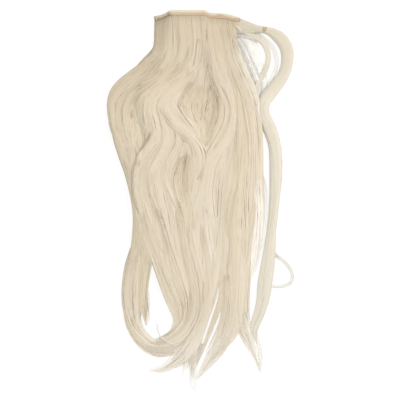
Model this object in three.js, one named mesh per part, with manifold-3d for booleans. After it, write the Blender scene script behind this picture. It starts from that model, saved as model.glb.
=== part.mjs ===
// A long, loosely waved hair extension, laid out flat on a surface.
// Millimetres, +Z up. +Y runs from the hair tips to the weft band, +X to the right.
// The origin is the middle of the footprint, on the surface that the hair lies on.
import * as THREE from 'three';
import Module from 'manifold-3d';

const wasm = await Module();
wasm.setup();

// Driving dimensions
const GAP = 0.3; // clearance kept between neighbouring pieces
const BAND_WIDTH = 7.6;
const BAND_THICKNESS = 2;
const BAND_CHAMFER = 0.5;
const ROOT_STRIP_THICKNESS = 4; // sewn hair roots that lie under the band
const ROOT_STRIP_SET_IN = 0.8; // how much narrower the root strip is than the band, at each edge
const ROOT_TOP = 270; // Y where the fall of hair leaves the band
const ROOT_BLEND = 0.12; // share of a lock's length over which it turns level from the band's slope
const LEVEL_STEP = 60; // spacing in Y of the levels in the tables below
const LOCK_SIDES = 8;
const LOCK_STEP = 22; // spacing of the sections along a lock of the main fall
const SIDE_LOCK_STEP = 13; // the same along the side lock, which bends more
const TIE_LENGTH = 4;
const TIE_WALL = 1.2;
const CLEAR_ABOVE_BAND = 14; // height over the band that is kept free of hair
const SMOOTHING = 0.02; // size of the slivers that are cleaned off after joining

// Height of the top of the pile at each level below the roots
const PILE_HEIGHTS = [25, 27, 25, 22, 19, 16, 13];
const TAIL_PILE_HEIGHT = 8; // past the last level, falling to the tip
const TIP_PILE_HEIGHT = 4;

// The share of the pile's height at which a lock's centre lies, and how thick it is
const TIERS = {
  under: { rise: 0.24, thickness: 0.6 },
  middle: { rise: 0.42, thickness: 0.56 },
  top: { rise: 0.68, thickness: 0.62 },
};

// The weft band is one strip, draped over the pile: a flat middle panel between two creases,
// a steep left end and a gentle right end. Each row is a section of its centreline.
const BAND_SECTIONS = [
  { at: 'left end', x: -67, y: 266.5, z: 5 },
  { at: 'left run', x: -54, y: 269, z: 11 },
  { at: 'left crease', x: -42.5, y: 273.6, z: 19 },
  { at: 'panel left', x: -40, y: 274.4, z: 20 },
  { at: 'flat left', x: -37, y: 274.4, z: 20 },
  { at: 'flat right', x: 4, y: 274.4, z: 20 },
  { at: 'panel right', x: 7, y: 274.4, z: 20 },
  { at: 'right crease', x: 15, y: 271, z: 17 },
  { at: 'right run', x: 43, y: 268.8, z: 13 },
  { at: 'right end', x: 61, y: 263.5, z: 8.5 },
];

// Locks of the main fall. fall is the centreline's X at each level, from the roots down,
// and tail holds the [X, Y] points that carry it on to its tip.
const LOCKS = [
  { name: 'under left', tier: 'under', width: 66, fall: [-36, -44, -84, -70, -70, -60, -50, -40] },
  { name: 'under middle', tier: 'under', width: 78, fall: [2, 2, -6, 2, -6, -6, -3, -2] },
  { name: 'under right', tier: 'under', width: 66, fall: [36, 52, 64, 62, 58, 53, 50, 44] },
  {
    name: 'sweep outer', tier: 'middle', width: 26,
    fall: [-60, -71, -125, -117, -100, -88, -97, -105],
    tail: [[-102, -190], [-87, -220], [-62, -236], [-33, -237]],
  },
  {
    name: 'sweep middle', tier: 'middle', width: 28,
    fall: [-56, -66, -111, -104, -96, -85, -90, -95],
    tail: [[-93, -190], [-78, -215], [-54, -228], [-27, -229]],
  },
  {
    name: 'sweep inner', tier: 'middle', width: 26,
    fall: [-49, -56, -92, -86, -90, -78, -78, -82],
    tail: [[-80, -189]],
  },
  {
    name: 'wave outer', tier: 'top', width: 27,
    fall: [-41, -42, -74, -64, -90, -79, -61, -42],
    tail: [[-33, -184], [-41, -204], [-62, -212]],
  },
  {
    name: 'wave middle', tier: 'top', width: 28,
    fall: [-32, -29, -62, -50, -74, -62, -48, -32],
    tail: [[-25, -188], [-34, -211], [-57, -220], [-76, -219]],
  },
  {
    name: 'wave inner', tier: 'top', width: 28,
    fall: [-22, -19, -52, -36, -56, -45, -35, -22],
    tail: [[-17, -192], [-30, -219], [-50, -228], [-72, -227]],
  },
  {
    name: 'wave core', tier: 'middle', width: 28,
    fall: [-14, -10, -36, -24, -40, -30, -23, -14],
    tail: [[-12, -192], [-27, -223], [-48, -234], [-64, -236]],
  },
  {
    name: 'turn left', tier: 'top', width: 26,
    fall: [-13, -16, -46, -12, -3, -16, -13, -8],
    tail: [[-11, -189], [-29, -222], [-52, -239]],
  },
  {
    name: 'turn right', tier: 'middle', width: 26,
    fall: [-5, -3, -32, -2, 4, -5, -3, 0],
    tail: [[-5, -193], [-22, -229], [-42, -248]],
  },
  {
    name: 'hollow', tier: 'middle', width: 36,
    fall: [6, 7, 0, 10, 12, 9, 9, 6],
    tail: [[-2, -195], [-13, -232], [-22, -263]],
  },
  {
    name: 'parting left', tier: 'top', width: 28,
    fall: [18, 25, 44, 33, 14, 10, 13, 8],
    tail: [[-2, -193], [-16, -224], [-33, -246], [-55, -262], [-71, -262]],
  },
  {
    name: 'parting right', tier: 'middle', width: 28,
    fall: [32, 40, 55, 48, 32, 27, 25, 16],
    tail: [[4, -196], [-6, -236], [-10, -279]],
  },
  {
    name: 'between the slits', tier: 'middle', width: 13,
    fall: [38, 48, 60, 56, 42, 37, 37, 34],
    tail: [[28, -172], [17, -202], [8, -226], [-2, -252]],
  },
  {
    name: 'straight left', tier: 'top', width: 29,
    fall: [42, 56, 68, 66, 55, 49, 48, 48],
    tail: [[40, -196], [27, -228], [8, -255], [-6, -275]],
  },
  {
    name: 'straight middle', tier: 'middle', width: 30,
    fall: [49, 66, 78, 76, 71, 66, 61, 58],
    tail: [[55, -195], [43, -222], [20, -252]],
  },
  {
    name: 'straight right', tier: 'middle', width: 25,
    fall: [54, 74, 86, 83, 84, 84, 74, 63],
    tail: [[67, -194], [78, -223], [90, -264]],
  },
  {
    name: 'stray arc', tier: 'middle', width: 9, fall: [56],
    tail: [[77, 243], [94, 232], [105, 214], [103, 195], [94, 179], [85, 161], [80, 143]],
  },
];

// Width of a lock along its length, as a share of its full width
const LOCK_TAPER = [
  { along: 0, share: 0.5 },
  { along: 0.1, share: 0.74 },
  { along: 0.22, share: 1 },
  { along: 0.78, share: 0.95 },
  { along: 0.92, share: 0.6 },
  { along: 1, share: 0.1 },
];

// The side lock leaves the right end of the band, arcs out and runs down beside the fall.
const SIDE_LOCK_SECTIONS = [
  { at: 'band end', x: 62.6, y: 262.4, z: 8, width: 9, thickness: 5 },
  { at: 'before tie', x: 80, y: 255, z: 7, width: 9, thickness: 6 },
  { at: 'tie', x: 98, y: 250.5, z: 6, width: 8, thickness: 6 },
  { at: 'arc top', x: 117, y: 241, z: 5, width: 16, thickness: 8 },
  { at: 'arc shoulder', x: 130, y: 225, z: 4.5, width: 18, thickness: 8 },
  { at: 'arc side', x: 132.5, y: 203, z: 4.5, width: 16, thickness: 8 },
  { at: 'arc return', x: 125, y: 181, z: 5, width: 17, thickness: 9 },
  { at: 'arc foot', x: 108, y: 160, z: 8, width: 19, thickness: 10 },
  { at: 'crossing', x: 95.5, y: 141, z: 12, width: 19, thickness: 11 },
  { at: 'turn', x: 95, y: 125, z: 11, width: 18, thickness: 11 },
  { at: 'run top', x: 105, y: 103, z: 7, width: 19, thickness: 10 },
  { at: 'run upper', x: 113.5, y: 76, z: 5, width: 17, thickness: 9 },
  { at: 'run middle', x: 115.5, y: 36, z: 4.5, width: 18, thickness: 9 },
  { at: 'run lower', x: 111.5, y: -10, z: 4.5, width: 17, thickness: 8 },
  { at: 'run thin', x: 107.5, y: -54, z: 4, width: 15, thickness: 7 },
  { at: 'hem top', x: 105, y: -93, z: 4, width: 19, thickness: 8 },
  { at: 'hem', x: 99.5, y: -130, z: 4, width: 22, thickness: 8 },
  { at: 'hem turn', x: 93, y: -163, z: 3.5, width: 19, thickness: 7 },
  { at: 'hem foot', x: 85, y: -188, z: 3, width: 13, thickness: 6 },
  { at: 'tail', x: 87, y: -212, z: 2.5, width: 8, thickness: 5 },
  { at: 'tip', x: 95, y: -235, z: 2, width: 3, thickness: 3 },
];
const TIE_SECTION = SIDE_LOCK_SECTIONS.findIndex((row) => row.at === 'tie');

const UP = new THREE.Vector3(0, 0, 1);

function material(name, color, roughness) {
  return new THREE.MeshStandardMaterial({ name, color, roughness, metalness: 0 });
}

// The value at a place in a table of rows, read along one column by straight lines
function tableValue(rows, place, column, value) {
  const next = rows.findIndex((row) => row[column] >= place);
  if (next === 0) return rows[0][value];
  if (next < 0) return rows[rows.length - 1][value];
  const before = rows[next - 1];
  const after = rows[next];
  const share = (place - before[column]) / (after[column] - before[column]);
  return THREE.MathUtils.lerp(before[value], after[value], share);
}

// A closed skin through rings of points that all have the same number of points, capped at both ends.
// Each ring turns anticlockwise, seen from the far end of the loft.
function loft(rings) {
  const sides = rings[0].length;
  const points = rings.flat();
  const faces = [];
  for (let ring = 0; ring + 1 < rings.length; ring += 1) {
    for (let side = 0; side < sides; side += 1) {
      const a = ring * sides + side;
      const b = ring * sides + ((side + 1) % sides);
      faces.push(a, b, a + sides, b, b + sides, a + sides);
    }
  }
  const last = (rings.length - 1) * sides;
  for (let side = 1; side + 1 < sides; side += 1) {
    faces.push(0, side + 1, side);
    faces.push(last, last + side, last + side + 1);
  }
  return new wasm.Manifold(new wasm.Mesh({
    numProp: 3,
    vertProperties: new Float32Array(points.flatMap((point) => point.toArray())),
    triVerts: new Uint32Array(faces),
  }));
}

// A place on the band's centreline
function bandPoint(x) {
  const [y, z] = ['y', 'z'].map((value) => tableValue(BAND_SECTIONS, x, 'x', value));
  return new THREE.Vector3(x, y, z);
}

// A strip that follows the band's centreline, from one height over it to another, with bevelled edges.
// It runs past both ends of the band by the overrun.
function bandStrip(bottom, top, halfWidth, chamfer, overrun) {
  const centres = BAND_SECTIONS.map((row) => new THREE.Vector3(row.x, row.y, row.z));
  const rings = centres.map((centre, index) => {
    const before = centres[Math.max(index - 1, 0)];
    const after = centres[Math.min(index + 1, centres.length - 1)];
    const along = after.clone().sub(before).normalize();
    const across = UP.clone().cross(along).normalize();
    const normal = along.clone().cross(across);
    const endSign = index === 0 ? -1 : Number(index === centres.length - 1);
    const start = centre.clone().addScaledVector(along, endSign * overrun);
    return [
      [halfWidth, bottom + chamfer], [halfWidth, top - chamfer],
      [halfWidth - chamfer, top], [chamfer - halfWidth, top],
      [-halfWidth, top - chamfer], [-halfWidth, bottom + chamfer],
      [chamfer - halfWidth, bottom], [halfWidth - chamfer, bottom],
    ].map(([side, height]) => start.clone().addScaledVector(across, side).addScaledVector(normal, height));
  });
  return loft(rings);
}

// Oval rings along a curve. sizeAt gives the width and thickness at a share of the length,
// and sideAt, where it is given, the direction of the width instead of the level one.
function lockRings(curve, steps, sizeAt, sideAt = (along, level) => level) {
  const rings = [];
  for (let step = 0; step <= steps; step += 1) {
    const along = step / steps;
    const centre = curve.getPointAt(along);
    const tangent = curve.getTangentAt(along);
    const side = sideAt(along, UP.clone().cross(tangent).normalize());
    const rise = UP.clone().addScaledVector(side, -side.z).normalize();
    const { width, thickness } = sizeAt(along);
    const ring = [];
    for (let corner = 0; corner < LOCK_SIDES; corner += 1) {
      const angle = (2 * Math.PI * (corner + 0.5)) / LOCK_SIDES;
      ring.push(centre.clone()
        .addScaledVector(side, (Math.cos(angle) * width) / 2)
        .addScaledVector(rise, (Math.sin(angle) * thickness) / 2));
    }
    rings.push(ring);
  }
  return rings;
}

// One lock of the main fall, from under the band's lower edge to its tip
function fallLock(lock) {
  const tier = TIERS[lock.tier];
  const [rootX, ...levels] = lock.fall;
  const tail = lock.tail ?? [];
  const root = bandPoint(rootX);
  const alongBand = bandPoint(rootX + BAND_WIDTH).sub(bandPoint(rootX - BAND_WIDTH)).normalize();
  root.y -= BAND_WIDTH / 2;
  root.z -= BAND_THICKNESS + ROOT_STRIP_THICKNESS / 2;
  const points = [root];
  const heights = [ROOT_STRIP_THICKNESS / tier.thickness];
  levels.forEach((x, index) => {
    const pile = PILE_HEIGHTS[index];
    points.push(new THREE.Vector3(x, ROOT_TOP - LEVEL_STEP * (index + 1), pile * tier.rise));
    heights.push(pile);
  });
  tail.forEach(([x, y], index) => {
    const pile = THREE.MathUtils.lerp(TAIL_PILE_HEIGHT, TIP_PILE_HEIGHT, (index + 1) / tail.length);
    points.push(new THREE.Vector3(x, y, pile * tier.rise));
    heights.push(pile);
  });
  const curve = new THREE.CatmullRomCurve3(points, false, 'centripetal');
  const steps = Math.round(curve.getLength() / LOCK_STEP);
  const sizeAt = (along) => {
    const place = curve.getUtoTmapping(along) * (heights.length - 1);
    const index = Math.min(Math.floor(place), heights.length - 2);
    const pile = THREE.MathUtils.lerp(heights[index], heights[index + 1], place - index);
    return {
      width: lock.width * tableValue(LOCK_TAPER, along, 'along', 'share'),
      thickness: pile * tier.thickness,
    };
  };
  const sideAt = (along, level) => level.lerp(alongBand, Math.max(0, 1 - along / ROOT_BLEND)).normalize();
  return loft(lockRings(curve, steps, sizeAt, sideAt));
}

const sideLockCurve = new THREE.CatmullRomCurve3(
  SIDE_LOCK_SECTIONS.map((row) => new THREE.Vector3(row.x, row.y, row.z)), false, 'centripetal',
);

// Width and thickness of the side lock, grown all round by a margin
function sideLockSize(along, margin) {
  const place = sideLockCurve.getUtoTmapping(along) * (SIDE_LOCK_SECTIONS.length - 1);
  const index = Math.min(Math.floor(place), SIDE_LOCK_SECTIONS.length - 2);
  const [before, after] = SIDE_LOCK_SECTIONS.slice(index, index + 2);
  return {
    width: THREE.MathUtils.lerp(before.width, after.width, place - index) + 2 * margin,
    thickness: THREE.MathUtils.lerp(before.thickness, after.thickness, place - index) + 2 * margin,
  };
}

function sideLock(margin) {
  const steps = Math.round(sideLockCurve.getLength() / SIDE_LOCK_STEP);
  return loft(lockRings(sideLockCurve, steps, (along) => sideLockSize(along, margin)));
}

// The thread binding round the side lock: a short oval sleeve
function lockTie() {
  const tie = SIDE_LOCK_SECTIONS[TIE_SECTION];
  const centre = new THREE.Vector3(tie.x, tie.y, tie.z);
  const t = TIE_SECTION / (SIDE_LOCK_SECTIONS.length - 1);
  const tangent = sideLockCurve.getTangent(t);
  const ends = [-1, 1].map((end) => centre.clone().addScaledVector(tangent, (end * TIE_LENGTH) / 2));
  const sleeve = loft(lockRings(new THREE.LineCurve3(...ends), 1, () => ({
    width: tie.width + 2 * (GAP + TIE_WALL),
    thickness: tie.thickness + 2 * (GAP + TIE_WALL),
  })));
  return sleeve.subtract(sideLock(GAP));
}

// The largest body of a solid, without the crumbs that a cut can leave
function largestBody(solid) {
  const bodies = solid.decompose();
  return bodies.reduce((best, body) => (body.volume() > best.volume() ? body : best));
}

function meshOf(name, solid, look) {
  const { vertProperties, triVerts } = solid.simplify(SMOOTHING).getMesh();
  const geometry = new THREE.BufferGeometry();
  geometry.setAttribute('position', new THREE.BufferAttribute(vertProperties, 3));
  geometry.setIndex(new THREE.BufferAttribute(triVerts, 1));
  geometry.computeVertexNormals();
  const mesh = new THREE.Mesh(geometry, look);
  mesh.name = name;
  return mesh;
}

const onSurface = (solid) => solid.trimByPlane([0, 0, 1], 0);

const halfBand = BAND_WIDTH / 2;
const halfThickness = BAND_THICKNESS / 2;
const band = bandStrip(-halfThickness, halfThickness, halfBand, BAND_CHAMFER, 0);
const bandClearance = bandStrip(
  -halfThickness - GAP, halfThickness + CLEAR_ABOVE_BAND, halfBand + GAP, BAND_CHAMFER, GAP,
);
const rootStrip = bandStrip(
  -halfThickness - GAP - ROOT_STRIP_THICKNESS, -halfThickness - GAP / 2,
  halfBand - ROOT_STRIP_SET_IN, BAND_CHAMFER, -ROOT_STRIP_SET_IN,
);
const hairFall = wasm.Manifold.union([rootStrip, ...LOCKS.map(fallLock)])
  .subtract(bandClearance)
  .subtract(sideLock(GAP));
const tiedLock = sideLock(0).subtract(bandClearance);

const hairExtension = new THREE.Group();
hairExtension.name = 'hair_extension';
hairExtension.add(
  meshOf('weft_band', band, material('weft tape', 0xd7c6ab, 0.7)),
  meshOf('hair_fall', largestBody(onSurface(hairFall)), material('blonde hair', 0xdccbb0, 0.45)),
  meshOf('side_lock', largestBody(onSurface(tiedLock)), material('pale blonde hair', 0xe2d8c2, 0.45)),
  meshOf('lock_tie', onSurface(lockTie()), material('binding thread', 0x9c8a6a, 0.8)),
);

export default hairExtension;
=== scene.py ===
"""A long, pale blonde, loosely waved hair extension lying on a pale surface.

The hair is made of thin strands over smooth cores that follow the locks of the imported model. The weft
band is a sewn tape with two rows of stitches and bar tacks, and a wound thread binds the side lock.
Sizes are millimetres.
"""

import math

import bpy
import numpy as np
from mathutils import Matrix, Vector


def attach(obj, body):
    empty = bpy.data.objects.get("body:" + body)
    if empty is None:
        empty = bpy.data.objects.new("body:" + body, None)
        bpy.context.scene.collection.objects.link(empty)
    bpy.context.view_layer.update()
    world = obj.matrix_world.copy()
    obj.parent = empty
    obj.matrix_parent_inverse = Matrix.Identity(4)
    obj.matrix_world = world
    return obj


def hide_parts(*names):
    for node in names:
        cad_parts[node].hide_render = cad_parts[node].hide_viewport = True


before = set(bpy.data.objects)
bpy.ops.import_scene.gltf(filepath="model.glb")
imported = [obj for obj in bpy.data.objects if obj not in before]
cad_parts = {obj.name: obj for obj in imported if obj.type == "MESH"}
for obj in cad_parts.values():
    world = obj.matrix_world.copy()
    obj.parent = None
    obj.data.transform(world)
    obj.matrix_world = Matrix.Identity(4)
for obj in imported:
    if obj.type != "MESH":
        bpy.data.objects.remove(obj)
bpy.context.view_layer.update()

MM = 0.001
UP = np.array([0.0, 0.0, 1.0])
LEANING = np.array([0.36, 0.48, 0.8])  # a direction that no thread follows
SEED = 22
random = np.random.default_rng(SEED)

# Roots and levels of the fall
ROOT_DEPTH = 1.9  # how far the roots lie under the band's centreline
ROOT_OVERLAP = 1.5  # how far the roots reach up behind the band's centreline
ROOT_HEIGHTS = [1.5, 3]  # thickness of a lock behind the band and just below it
ROOT_BLEND = 0.12  # share of the length over which a lock turns away from the band
ROOT_TOP = 270.0  # Y that the levels are counted down from
LEVEL_STEP = 60.0

# Height of the pile's top at each level below the roots, where the tails start and at the tips
PILE_HEIGHTS = [25, 27, 25, 22, 19, 16, 13]
TAIL_PILE_HEIGHT = 8
TIP_PILE_HEIGHT = 4

# Height of a lock's centre in the pile and its thickness, as shares of the pile's height
TIERS = {"under": (0.24, 0.6), "middle": (0.42, 0.56), "top": (0.68, 0.62)}

# Width of a lock along its length, as a share of its full width
TAPER_ALONG = [0, 0.1, 0.22, 0.78, 0.92, 1]
TAPER_SHARE = [0.62, 0.84, 1, 0.98, 0.76, 0.14]

# Weft band
BAND_WIDTH = 7.6

# Sections of the band's centreline: x, y, z
BAND_SECTIONS = [
    (-67, 266.5, 5),
    (-54, 269, 11),
    (-42.5, 273.6, 19),
    (-40, 274.4, 20),
    (-37, 274.4, 20),
    (4, 274.4, 20),
    (7, 274.4, 20),
    (15, 271, 17),
    (43, 268.8, 13),
    (61, 263.5, 8.5),
]

# Outline of the band's section, over its top and back under it: across, height
BAND_OUTLINE = [
    (3.8, -0.1), (3.65, 0.5), (3.1, 0.95), (2.0, 1.1), (0.9, 1.0), (0.2, 0.75), (-0.15, 0.45),
    (-0.6, 0.6), (-1.4, 0.75), (-2.2, 0.7), (-2.65, 0.45), (-3.05, 0.65), (-3.5, 0.6), (-3.8, 0.0),
    (-3.5, -0.7), (-2.2, -0.95), (0, -1.0), (2.2, -0.95), (3.4, -0.75),
]
OUTLINE_STEPS = 2  # points from one point of the outline to the next
TAPE_STATIONS = 240
PUCKER = 0.07  # rise and fall of the tape's top at each stitch, as a share of its height
END_HEM = 0.2  # extra height of the hems at both ends, as a share of the tape's
END_HEM_FADE = (0.01, 0.025)  # where a hem runs out, as shares of the length
TAPE_PAINTED_SHADE = (-1.6, 1.4)  # places across between which the tape turns paler; the darker lower part is painted shade and partly the tan of hair loops

# Stitches along the band and bar tacks across it
STITCH_ROWS = [-0.15, -2.65]
STITCH_PITCH = 3.0
STITCH_LENGTH = 2.3
STITCH_RADIUS = 0.22
STITCH_BASE = 0.2  # height of a stitch's ends over the centreline
STITCH_RISE = 0.45
STITCH_POINTS = 9
STITCH_CORNERS = 6
BAR_TACKS = [(0.015, 0.03), (0.735, 0.815), (0.955, 0.985)]  # shares of the band's length
TACK_PITCH = 0.62
TACK_REACH = 3.2  # to each side of the centreline
TACK_SHIFT = 0.2  # the most that a stitch is off to either side
TACK_PLACES = [-3.3, -0.15, 0.9, 2.0, 3.3]  # across, with the heights there
TACK_HEIGHTS = [0.7, 0.75, 1.15, 1.25, 0.9]
TACK_RISE = 0.1

# Locks of the fall: name, led by the group, tier, width, X at each level down, [X, Y] points of the tail
LOCKS = [
    ("under left", "under", 66, [-36, -44, -84, -70, -70, -60, -50, -40], []),
    ("under middle", "under", 78, [2, 2, -6, 2, -6, -6, -3, -2], []),
    ("under right", "under", 66, [30, 25, 50, 62, 58, 53, 50, 44], []),
    ("sweep outer", "middle", 26, [-59, -61, -122, -116, -97, -86, -91, -101],
     [(-100, -190), (-85, -219), (-62, -236), (-33, -237)]),
    ("sweep middle", "middle", 28, [-55, -57, -110, -104, -95, -84, -89, -95],
     [(-99, -188), (-84, -217), (-57, -231), (-27, -231)]),
    ("sweep inner", "middle", 24, [-49, -51, -92, -86, -90, -78, -81, -86],
     [(-81, -174), (-79, -196)]),
    ("wave outer", "top", 27, [-41, -42, -74, -64, -90, -79, -60, -40],
     [(-28, -186), (-36, -208), (-57, -220), (-82, -221)]),
    ("wave middle", "top", 28, [-32, -29, -62, -50, -74, -62, -48, -32],
     [(-24, -188), (-33, -211), (-54, -223), (-78, -223), (-93, -214)]),
    ("wave inner", "top", 28, [-22, -19, -52, -36, -56, -45, -35, -22],
     [(-17, -192), (-30, -217), (-50, -228), (-74, -228), (-91, -218)]),
    ("wave core", "middle", 28, [-14, -10, -36, -24, -40, -30, -23, -14],
     [(-12, -192), (-27, -223), (-48, -234), (-64, -236)]),
    ("turn left", "top", 26, [-13, -16, -46, -12, -3, -16, -13, -8],
     [(-11, -189), (-29, -222), (-52, -239)]),
    ("turn right", "middle", 26, [-5, -3, -32, -2, 4, -5, -3, 0],
     [(-5, -193), (-22, -229), (-42, -248)]),
    ("turn hollow", "middle", 34, [6, 7, -2, 10, 12, 9, 7, 3],
     [(-5, -195), (-14, -232), (-22, -263)]),
    ("parting left", "top", 28, [18, 25, 44, 33, 14, 10, 13, 8],
     [(-2, -193), (-16, -224), (-33, -245), (-55, -260), (-76, -262)]),
    ("parting right", "middle", 25, [32, 40, 55, 48, 32, 27, 24, 14],
     [(0, -196), (-8, -236), (-10, -279)]),
    ("straight between the slits", "middle", 10, [38, 48, 60, 56, 42, 37, 37, 34],
     [(28, -172), (17, -202), (7, -228), (-3, -254)]),
    ("straight left", "top", 29, [40, 50, 66, 66, 55, 49, 48, 48],
     [(44, -194), (32, -224), (13, -251), (-4, -276)]),
    ("straight middle", "middle", 30, [46, 48, 72, 76, 71, 66, 60, 56],
     [(53, -192), (38, -218), (15, -250)]),
    ("straight right", "middle", 25, [49, 47, 77, 83, 84, 83, 69, 64],
     [(66, -188), (71, -209), (83, -230), (90, -250), (92, -268)]),
    ("wisp arc", "top", 7.5, [56],
     [(77, 243), (96, 231), (104, 214), (103, 198), (97, 184), (88, 167), (80, 144)]),
]

# Narrow locks that lie on the pile: name, width, how much paler than the mean, [X, Y] points
# Their darker tones in folds, troughs and hollows are partly painted shade
SURFACE_LOCKS = [
    ("left fold outer", 20, -0.3, [(-52, 225), (-60, 204), (-75, 186), (-96, 170), (-114, 155),
     (-125, 139), (-126, 118), (-122, 93), (-113, 66)]),
    ("left fold inner", 19, -0.2, [(-42, 207), (-54, 187), (-72, 172), (-90, 160), (-105, 147),
     (-112, 129), (-111, 105), (-103, 79), (-97, 54)]),
    ("left sheet", 22, -0.02, [(-106, 142), (-101, 112), (-97, 84), (-94, 56), (-95, 24)]),
    ("fold to wave", 17, -0.14, [(-27, 222), (-31, 201), (-43, 183), (-61, 168), (-78, 154),
     (-88, 138), (-88, 117), (-81, 96), (-78, 79)]),
    ("wave outer", 16, -0.08, [(-12, 222), (-16, 201), (-27, 184), (-42, 172), (-57, 162), (-67, 148),
     (-72, 132), (-67, 112), (-64, 94), (-69, 78), (-81, 63), (-90, 45), (-93, 27)]),
    ("wave middle", 15, -0.04, [(-1, 210), (-7, 189), (-19, 174), (-34, 162), (-49, 151), (-58, 138),
     (-57, 118), (-51, 99), (-51, 79), (-60, 61), (-70, 42), (-72, 21), (-64, 0)]),
    ("wave inner", 14, 0, [(-43, 136), (-40, 120), (-34, 102), (-33, 84), (-39, 66), (-48, 48),
     (-51, 27), (-43, 6), (-34, -15), (-28, -39)]),
    ("turn", 17, -0.05, [(-8, 204), (-14, 186), (-27, 171), (-42, 158), (-51, 145), (-52, 132),
     (-43, 117), (-28, 102), (-13, 88), (0, 74), (5, 58), (2, 38), (-6, 18), (-15, -3)]),
    ("turn hollow", 15, -0.3, [(-4, 178), (-13, 161), (-22, 147), (-25, 134), (-17, 118), (-8, 104)]),
    ("turn strand", 5, 0.05, [(-30, 136), (-25, 127), (-16, 114), (-6, 101), (2, 90)]),
    ("trough right", 17, -0.2, [(-13, 78), (-19, 56), (-23, 33), (-21, 8), (-16, -18), (-13, -44),
     (-11, -74)]),
    ("hollow left", 24, -0.2, [(6, 180), (0, 158), (-8, 142), (-8, 126), (-1, 108), (6, 88), (8, 68)]),
    ("hollow middle", 26, -0.2, [(14, 176), (12, 146), (9, 122), (8, 98), (8, 64)]),
    ("hollow right", 26, -0.2, [(23, 176), (27, 142), (25, 118), (17, 96), (10, 76), (8, 58)]),
    ("hollow rim", 8, -0.06, [(15, 206), (19, 188), (24, 170), (30, 152), (36, 138)]),
    ("trough", 12, -0.14, [(-18, 72), (-25, 57), (-33, 42), (-37, 24), (-34, 3), (-27, -18),
     (-22, -42), (-17, -74)]),
    ("trough middle", 10, -0.1, [(-20, 64), (-28, 36), (-28, 10), (-22, -14), (-16, -44), (-13, -76)]),
    ("parting inner", 15, 0, [(12, 216), (16, 195), (22, 174), (31, 154), (39, 136), (40, 118),
     (34, 99), (22, 79), (12, 60), (7, 39), (3, 15), (0, -12)]),
    ("parting outer", 17, 0, [(24, 219), (31, 195), (42, 171), (48, 147), (51, 123), (48, 100),
     (37, 78), (25, 57), (18, 33), (15, 6), (18, -24), (24, -57), (28, -90)]),
    ("straight inner", 16, -0.08, [(36, 225), (44, 195), (52, 165), (58, 135), (60, 99), (58, 60),
     (55, 24), (49, -6), (46, -33), (48, -63), (46, -93), (42, -123)]),
    ("straight middle", 15, -0.05, [(43, 225), (49, 190), (63, 150), (72, 105), (75, 66), (73, 27),
     (70, -9), (72, -45), (72, -78), (67, -114), (64, -150)]),
    ("straight outer", 14, -0.03, [(46, 230), (53, 196), (69, 160), (81, 130), (86, 99), (87, 60),
     (87, 21), (85, -15), (79, -51), (72, -87), (68, -126)]),
    ("low wave outer", 15, 0, [(-91, 9), (-88, -13), (-79, -39), (-69, -66), (-58, -93), (-48, -120),
     (-37, -145), (-28, -168), (-28, -187), (-38, -206), (-59, -218), (-80, -219)]),
    ("low wave middle", 15, 0, [(-73, 15), (-63, -12), (-54, -39), (-46, -69), (-37, -99), (-27, -129),
     (-19, -156), (-21, -178), (-31, -199), (-48, -215), (-70, -222), (-89, -216)]),
    ("low wave inner", 14, 0, [(-46, 9), (-34, -15), (-27, -42), (-22, -72), (-16, -102), (-9, -132),
     (-6, -159), (-10, -183), (-22, -204), (-40, -219), (-64, -227), (-86, -221)]),
    ("low turn", 14, 0, [(-15, -6), (-16, -36), (-13, -69), (-4, -102), (3, -132), (4, -159),
     (-1, -186), (-13, -210), (-27, -231)]),
    ("low parting", 14, 0, [(1, -15), (6, -51), (12, -84), (15, -117), (13, -147), (9, -177),
     (0, -207), (-12, -234), (-28, -252), (-49, -259)]),
    ("low straight", 14, 0, [(46, -99), (42, -129), (42, -159), (38, -189), (26, -216), (10, -240)]),
    ("loop outer", 13, -0.04, [(-97, -70), (-104, -100), (-109, -132), (-109, -162), (-102, -189),
     (-88, -210), (-69, -225), (-46, -231)]),
    ("loop inner", 13, -0.01, [(-88, -63), (-94, -93), (-97, -126), (-98, -159), (-95, -188),
     (-81, -212), (-60, -225), (-37, -226)]),
]

# Thin locks of painted shade, darker strands where sheets of hair part, in the same columns
PAINTED_SHADE_LOCKS = [
    ("fold", 3, -0.35, [(-80, 168), (-92, 163), (-105, 156), (-118, 144)]),
    ("fold to wave", 3, -0.35, [(-58, 178), (-66, 168), (-82, 156), (-93, 143), (-98, 130)]),
    ("left of turn", 3, -0.3, [(-14, 226), (-18, 208), (-26, 192), (-44, 176), (-58, 164)]),
    ("under turn", 6, -0.3, [(-60, 140), (-57, 128), (-50, 116), (-38, 102), (-24, 88), (-10, 74)]),
    ("turn end", 3, -0.3, [(4, 76), (10, 62), (9, 48), (3, 34), (-4, 22)]),
    ("hollow", 3, -0.25, [(-32, 138), (-24, 124), (-14, 110), (-4, 98)]),
    ("parting", 3, -0.3, [(30, 170), (40, 152), (47, 134), (46, 116), (38, 96), (26, 76), (16, 60)]),
    ("wave under", 3, -0.4, [(-68, 104), (-76, 86), (-88, 68), (-97, 46), (-100, 22), (-97, -4),
     (-88, -34)]),
    ("wave inner", 3, -0.3, [(-72, 4), (-64, -18), (-56, -42), (-48, -70), (-40, -100)]),
    ("straight", 5, -0.3, [(59, 42), (58, 26), (56, 10), (50, -10), (47, -36), (48, -66), (45, -100),
     (40, -134)]),
    ("crown", 5, -0.26, [(0, 238), (-2, 222), (-4, 206), (-10, 192)]),
    ("loop", 4, -0.2, [(-104, -176), (-99, -192), (-88, -208), (-72, -219), (-56, -224)]),
    ("curl inner", 4, -0.32, [(-30, -150), (-24, -172), (-30, -192), (-44, -206), (-62, -213)]),
    ("curl middle", 7, -0.26, [(-14, -140), (-13, -166), (-20, -190), (-36, -208), (-56, -217)]),
    ("curl outer", 3, -0.35, [(6, -110), (6, -140), (2, -172), (-8, -198), (-24, -220), (-44, -232)]),
]

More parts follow.
